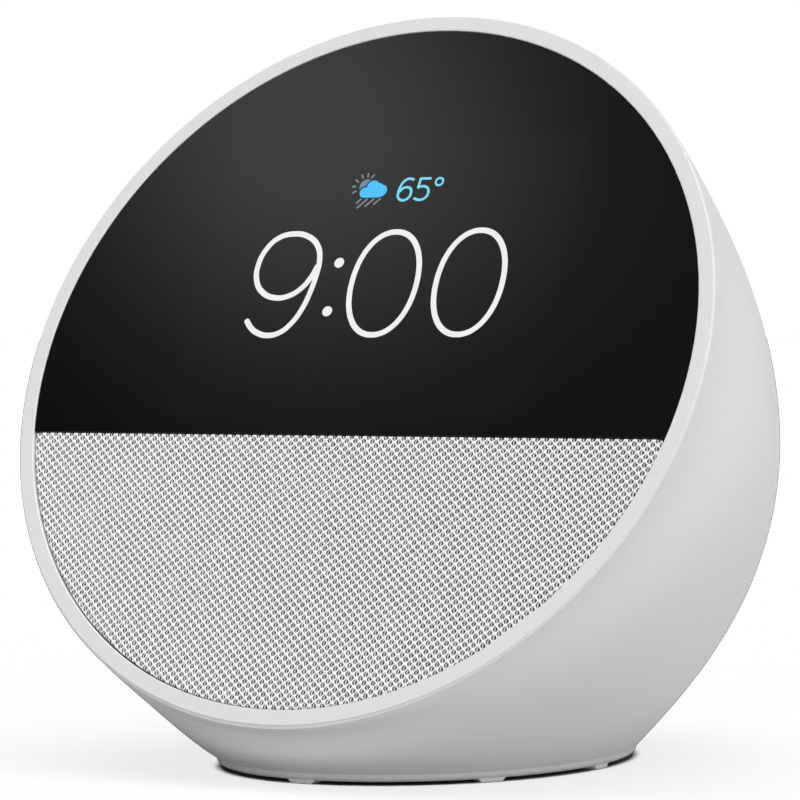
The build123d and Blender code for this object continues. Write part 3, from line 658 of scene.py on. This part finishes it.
class Ink:
    """Thin raised marks on the glass, in the face's frame, in millimetres."""

    def __init__(self, rise=INK):
        self.points, self.faces, self.rise = [], [], rise

    def add(self, ring_a, ring_b=None):
        """A filled outline, or the band between two closed outlines."""
        start = len(self.points)
        top, low = GLASS_FRONT + self.rise, GLASS_FRONT - SUNK
        rings = [ring_a] if ring_b is None else [ring_a, ring_b]
        for ring in rings:
            self.points += [face_point(p[0], p[1], top) for p in ring]
        for ring in rings:
            self.points += [face_point(p[0], p[1], low) for p in ring]
        if ring_b is None:
            n = len(ring_a)
            self.faces.append([start + i for i in range(n)])
            self.faces.append([start + n + i for i in reversed(range(n))])
            self.faces += [
                (start + i, start + n + i, start + n + (i + 1) % n, start + (i + 1) % n)
                for i in range(n)
            ]
        else:
            n = len(ring_a)
            for i in range(n):
                j = (i + 1) % n
                a, b, c, d = start + i, start + j, start + n + j, start + n + i
                self.faces.append((a, b, c, d))
                self.faces.append((a + 2 * n, d + 2 * n, c + 2 * n, b + 2 * n))
                self.faces.append((a, a + 2 * n, b + 2 * n, b))
                self.faces.append((d, c, c + 2 * n, d + 2 * n))

    def line(self, points, width, closed=False, samples=8):
        if closed:
            self.add(*stroke(points, width, True, samples))
        else:
            self.strips(stroke(points, width, False, samples))

    def strips(self, outline):
        """An open stroke, filled across so that a strongly curved one stays clean."""
        start, total = len(self.points), len(outline)
        n = total // 2 - CAP
        for height in (GLASS_FRONT + self.rise, GLASS_FRONT - SUNK):
            self.points += [face_point(p[0], p[1], height) for p in outline]
        last = 2 * n + CAP - 1
        patches = [[i, i + 1, last - 1 - i, last - i] for i in range(n - 1)]
        patches.append([n - 1 + k for k in range(CAP + 2)])
        patches.append([(last + k) % total for k in range(CAP + 2)])
        for patch in patches:
            self.faces.append([start + i for i in patch])
            self.faces.append([start + total + i for i in reversed(patch)])
        self.faces += [
            (start + i, start + total + i, start + total + (i + 1) % total, start + (i + 1) % total)
            for i in range(total)
        ]

    def dot(self, x, y, radius, count=24):
        self.add([
            (x + radius * math.cos(2 * math.pi * k / count),
             y + radius * math.sin(2 * math.pi * k / count))
            for k in range(count)
        ])

    def build(self, name, material):
        mesh = sound_mesh(name, self.points, self.faces)
        return piece(name, mesh, material, smooth=False)


def oval_loop(cx, cy, rx, ry, count=24, square=2.12):
    """Points round an oval, which is slightly squared above square=2."""
    found = []
    for k in range(count):
        t = 2 * math.pi * k / count
        c, s = math.cos(t), math.sin(t)
        x = math.copysign(abs(c) ** (2 / square), c) * rx
        y = math.copysign(abs(s) ** (2 / square), s) * ry
        found.append((cx + x, cy + y))
    return found


def cloud_outline(grow=0.0, count=96):
    """A cloud with a flat underside, as points round its middle."""
    middle = (-3.65, 27.35)
    lobes = (
        (-4.98, 27.07, 0.84), (-3.75, 28.0, 1.04), (-2.2, 27.28, 1.0), (-2.85, 27.75, 0.86),
    )

    def covered(x, y):
        if any(math.hypot(x - cx, y - cy) < r + grow for cx, cy, r in lobes):
            return True
        return -5.02 < x < -2.3 and 26.19 - grow < y < 27.5

    found = []
    for k in range(count):
        t = 2 * math.pi * k / count
        far = next(
            r for r in (3.2 - 0.02 * i for i in range(160))
            if covered(middle[0] + r * math.cos(t), middle[1] + r * math.sin(t))
        )
        found.append((middle[0] + far * math.cos(t), middle[1] + far * math.sin(t)))
    return found


STROKE, FINE, RING_STROKE, RAY = 0.88, 0.40, 0.34, 0.27  # widths of the lit lines
WHITE = lit("lit_white", (0.84, 0.86, 0.87))
BLUE = lit("lit_blue", (0.05, 0.51, 1.0))
CYAN = lit("lit_cyan", (0.17, 0.68, 0.86))
GREY = lit("lit_grey", (0.20, 0.225, 0.25))
SLATE = lit("lit_slate", (0.13, 0.24, 0.34))

digits = Ink()
digits.line(oval_loop(2.13, 12.08, 5.48, 8.33), STROKE, True, 6)
digits.line(oval_loop(16.3, 12.08, 5.45, 8.33), STROKE, True, 6)
digits.dot(-6.35, 15.5, 0.82)
digits.dot(-6.35, 7.6, 0.82)
digits.line([
    (-19.8, 6.05), (-18.8, 4.95), (-17.4, 4.1), (-15.6, 3.72), (-13.6, 4.2), (-12.0, 5.7),
    (-10.8, 8.0), (-10.1, 10.75), (-9.78, 13.5), (-9.85, 16.0), (-10.75, 18.3), (-12.75, 19.9),
    (-15.4, 20.42), (-18.0, 19.75), (-19.65, 17.9), (-20.35, 15.3), (-19.95, 12.8),
    (-18.45, 10.85), (-16.0, 9.88), (-13.7, 10.15), (-11.8, 11.4), (-10.6, 13.2), (-10.0, 14.9),
], STROKE)
digits.build("clock_digits", WHITE)

sun = Ink(0.010)
sun.dot(-4.92, 28.1, 1.16, 40)
sun.build("weather_sun", SLATE)
gap = Ink(0.014)
gap.add(cloud_outline(0.24))
gap.build("weather_gap", GLASS)
cloud = Ink()
cloud.add(cloud_outline())
cloud.build("weather_cloud", BLUE)
rays = Ink()
for x0, y0, x1, y1 in (
    (-7.28, 28.1, -6.82, 28.08), (-7.02, 27.02, -6.52, 27.32), (-6.98, 29.2, -6.5, 28.85),
    (-6.15, 29.98, -5.86, 29.5), (-5.1, 30.2, -5.06, 29.68), (-4.05, 29.98, -4.35, 29.52),
    (-5.9, 25.35, -5.35, 25.95), (-5.6, 24.55, -4.25, 25.93), (-4.3, 24.78, -3.12, 25.95),
    (-2.9, 25.08, -2.05, 25.93),
):
    rays.line([(x0, y0), (x1, y1)], RAY, samples=2)
rays.build("weather_rays", GREY)

reading = Ink()
reading.line([
    (2.9, 29.03), (2.1, 29.17), (1.35, 28.72), (0.93, 27.8), (0.82, 26.85), (1.02, 26.05),
    (1.66, 25.63), (2.35, 25.7), (2.9, 26.25), (3.0, 26.9), (2.78, 27.48), (2.2, 27.76),
    (1.5, 27.6), (0.98, 27.05),
], FINE)
reading.line([(5.75, 29.13), (4.1, 29.13)], FINE, samples=2)
reading.line([(4.12, 29.13), (4.0, 27.68)], FINE, samples=2)
reading.line([
    (4.0, 27.68), (4.6, 27.85), (5.3, 27.76), (5.8, 27.3), (5.92, 26.6), (5.62, 25.98),
    (4.98, 25.64), (4.3, 25.67), (3.8, 25.86),
], FINE)
reading.line(oval_loop(7.38, 28.55, 0.6, 0.6, 16, 2.0), RING_STROKE, True, 4)
reading.build("temperature_reading", CYAN)


# ---- Marks on the keys --------------------------------------------------------------------------
MARK_RISE, MARK_SUNK = 0.00002, 0.00004  # how far a mark stands out of its key, and reaches in
ABOVE = 0.002  # where the search for the key's curved top starts


def key_mark(key, strokes, material):
    """Shallow marks that lie on a key's curved top and move with it."""
    travel = next(j["axis"] for j in frame["joints"] if j["child"] == key)
    out = -Vector(travel)
    along = out.cross(Vector((1, 0, 0))).normalized()
    node = NODES[key + "_button"]
    corners = [v.co for v in node.data.vertices]
    mid = Vector((0, 0, 0))
    for axis in (Vector((1, 0, 0)), along):
        spread = [c.dot(axis) for c in corners]
        mid += axis * (min(spread) + max(spread)) / 2
    top = max(c.dot(out) for c in corners)
    points, faces = [], []
    for outline in strokes:
        start, n = len(points), len(outline)
        for lift in (MARK_RISE, -MARK_SUNK):
            for x, y in outline:
                above = mid + Vector((x * MM, 0, 0)) + along * y * MM + out * (top + ABOVE)
                hit, place, _, _ = node.ray_cast(above, -out)
                points.append((place if hit else above - out * ABOVE) + out * lift)
        faces += [
            (start + i, start + n + i, start + n + (i + 1) % n, start + (i + 1) % n)
            for i in range(n)
        ]
        faces += [[start + i for i in range(n)], [start + n + i for i in reversed(range(n))]]
    mesh = sound_mesh(key + "_mark", points, faces)
    piece(key + "_mark", mesh, material, key, smooth=False)


def bar(x0, y0, x1, y1, width=0.42):
    """A straight stroke of a key's mark, as one outline."""
    return [(p.x, p.y) for p in stroke([(x0, y0), (x1, y1)], width, False, 6)]


def arc_band(radius, width, start, end, count=36):
    """Part of a ring, as one closed outline. Angles are in degrees."""
    turns = [math.radians(start + (end - start) * k / count) for k in range(count + 1)]
    wide, narrow = radius + width / 2, radius - width / 2
    outer = [(wide * math.cos(t), wide * math.sin(t)) for t in turns]
    inner = [(narrow * math.cos(t), narrow * math.sin(t)) for t in turns]
    return outer + inner[::-1]


MARK = moulded("key_mark_grey", (0.22, 0.225, 0.23), 0.55, 0.00001, 0.03)
key_mark("volume_down", [bar(-1.3, 0, 1.3, 0)], MARK)
key_mark("volume_up", [bar(-1.3, 0, 1.3, 0), bar(0, 0.24, 0, 1.3), bar(0, -1.3, 0, -0.24)], MARK)
key_mark("mic_off", [
    arc_band(1.5, 0.36, 50, 218), arc_band(1.5, 0.36, 232, 400), bar(-1.25, -1.25, 1.25, 1.25, 0.36),
], MARK)


# ---- Stage ------------------------------------------------------------------------------------
TABLE_HALF, TABLE_PALE = 40, (0.60, 0.60, 0.60)
SHEET_GAP = 0.0001  # between the table's two sheets
SHADOW_LAMP, SHADOW_LAMP_ANGLE = 30.0, 60  # strength, and width in degrees


def table_sheet(name, height):
    """A flat pale sheet as wide as a room."""
    corners = ((-1, -1), (1, -1), (1, 1), (-1, 1))
    points = [(x * TABLE_HALF, y * TABLE_HALF, height) for x, y in corners]
    mesh = mesh_from(name, points, [(0, 1, 2, 3)])
    obj = bpy.data.objects.new(name, mesh)
    bpy.context.scene.collection.objects.link(obj)
    s = Shader(name + "_white", TABLE_PALE, 0.9, Specular_IOR_Level=0.1)
    s.color(s.mix(s.noise(3, 2), TABLE_PALE, shade(TABLE_PALE, 1.03)))
    dress(obj, s.material)
    return obj


def table():
    """A plain pale table: one sheet throws light back, and one catches the shadow."""
    lower = table_sheet("floor", -SHEET_GAP)
    lower.visible_camera = False
    upper = table_sheet("floor_shadow", 0.0)
    upper.is_shadow_catcher = True
    upper.visible_diffuse = upper.visible_glossy = upper.visible_shadow = False
    upper.visible_transmission = False
    return upper


def table_lamp(name, sheet, blockers):
    """A wide overhead lamp that lights one sheet. Only the blockers shade it, not the whole body.

    It makes the shadow tighter and paler than the studio's own light would.
    """
    lamp = bpy.data.lights.new(name, "SUN")
    lamp.energy, lamp.angle = SHADOW_LAMP, math.radians(SHADOW_LAMP_ANGLE)
    obj = bpy.data.objects.new(name, lamp)
    bpy.context.scene.collection.objects.link(obj)
    obj.light_linking.receiver_collection = bpy.data.collections.new(name + "_lights")
    obj.light_linking.receiver_collection.objects.link(sheet)
    obj.light_linking.blocker_collection = bpy.data.collections.new(name + "_blockers")
    for node in blockers:
        obj.light_linking.blocker_collection.objects.link(node)


table_lamp("table_lamp", table(), [NODES["foot_ring"], NODES["base_plate"]])


# ---- Light and camera -------------------------------------------------------------------------
# Broad lobes stand for a studio's walls and ceiling, and two narrow ones for a lamp seen in the
# glass. Least-squares fits to the photo's shading gave the broad lobes' strengths, and the narrow
# lobes whole.
SOFT = 10.0  # sharpness of a broad lobe
LOBES = (  # azimuth and elevation in degrees, sharpness, radiance at the middle
    (0, 90, SOFT, 0.89), (-135, 55, SOFT, 0.66), (45, 55, SOFT, 1.57), (105, 55, SOFT, 1.28),
    (165, 55, SOFT, 0.84), (-180, 12, SOFT, 0.11), (-144, 12, SOFT, 0.23), (-108, 12, SOFT, 0.49),
    (0, 12, SOFT, 1.19), (36, 12, SOFT, 1.01), (72, 12, SOFT, 0.63), (108, 12, SOFT, 0.58),
    (144, 12, SOFT, 0.45), (-47.35, 44.42, 743.0, 1.01), (-43.22, 45.07, 2978.0, 0.10),
)


def direction(azimuth, elevation):
    """The way to a light: azimuth 0 is in front of the object, and 90 on its right side."""
    a, e = math.radians(azimuth), math.radians(elevation)
    return (math.sin(a) * math.cos(e), -math.cos(a) * math.cos(e), math.sin(e))


def studio():
    """A world lit by the lobes, which the camera itself sees as plain white."""
    world = bpy.data.worlds.new("studio")
    bpy.context.scene.world = world
    world.use_nodes = True
    tree = world.node_tree

    def node(kind, operation=None, **values):
        made = tree.nodes.new("ShaderNode" + kind)
        if operation:
            made.operation = operation
        for place, value in values.items():
            socket = made.inputs[int(place[1:])]
            if isinstance(value, bpy.types.NodeSocket):
                tree.links.new(value, socket)
            else:
                socket.default_value = value
        return made

    toward = node("TexCoord").outputs["Generated"]
    total = 0.0
    for azimuth, elevation, sharpness, radiance in LOBES:
        along = node("VectorMath", "DOT_PRODUCT", i0=toward, i1=direction(azimuth, elevation))
        power = node("Math", "MULTIPLY_ADD", i0=along.outputs["Value"], i1=sharpness, i2=-sharpness)
        shape = node("Math", "EXPONENT", i0=power.outputs[0])
        total = node("Math", "MULTIPLY_ADD", i0=shape.outputs[0], i1=radiance, i2=total).outputs[0]
    light = tree.nodes["Background"]
    tree.links.new(total, light.inputs["Color"])
    white = node("Background", i0=(1, 1, 1, 1), i1=1.0)
    seen = node("LightPath").outputs["Is Camera Ray"]
    both = node("MixShader", i0=seen, i1=light.outputs[0], i2=white.outputs[0])
    tree.links.new(both.outputs[0], tree.nodes["World Output"].inputs["Surface"])


studio()

camera_data = bpy.data.cameras.new("camera")
camera = bpy.data.objects.new("camera", camera_data)
bpy.context.scene.collection.objects.link(camera)
bpy.context.scene.camera = camera
AZIMUTH, ELEVATION, ROLL = (math.radians(a) for a in (30.35, 0.99, -0.25))
DISTANCE, AIM_RIGHT, AIM_DOWN = 0.550, 0.00684, 0.00607
back = Vector((
    math.sin(AZIMUTH) * math.cos(ELEVATION),
    -math.cos(AZIMUTH) * math.cos(ELEVATION),
    math.sin(ELEVATION),
))
right = Vector((math.cos(AZIMUTH), math.sin(AZIMUTH), 0))
up = back.cross(right)
right, up = (
    right * math.cos(ROLL) + up * math.sin(ROLL),
    up * math.cos(ROLL) - right * math.sin(ROLL),
)
centre = face_point(0, 0) + right * AIM_RIGHT - up * AIM_DOWN
camera.matrix_world = Matrix.Translation(centre + back * DISTANCE) @ Matrix((
    (right.x, up.x, back.x, 0),
    (right.y, up.y, back.y, 0),
    (right.z, up.z, back.z, 0),
    (0, 0, 0, 1),
))
camera_data.sensor_width = 36
camera_data.lens = 171.6
camera_data.clip_start, camera_data.clip_end = 0.01, 100
camera_data.dof.use_dof = False

scene = bpy.context.scene
scene.view_settings.view_transform = "Standard"
scene.view_settings.look = "None"
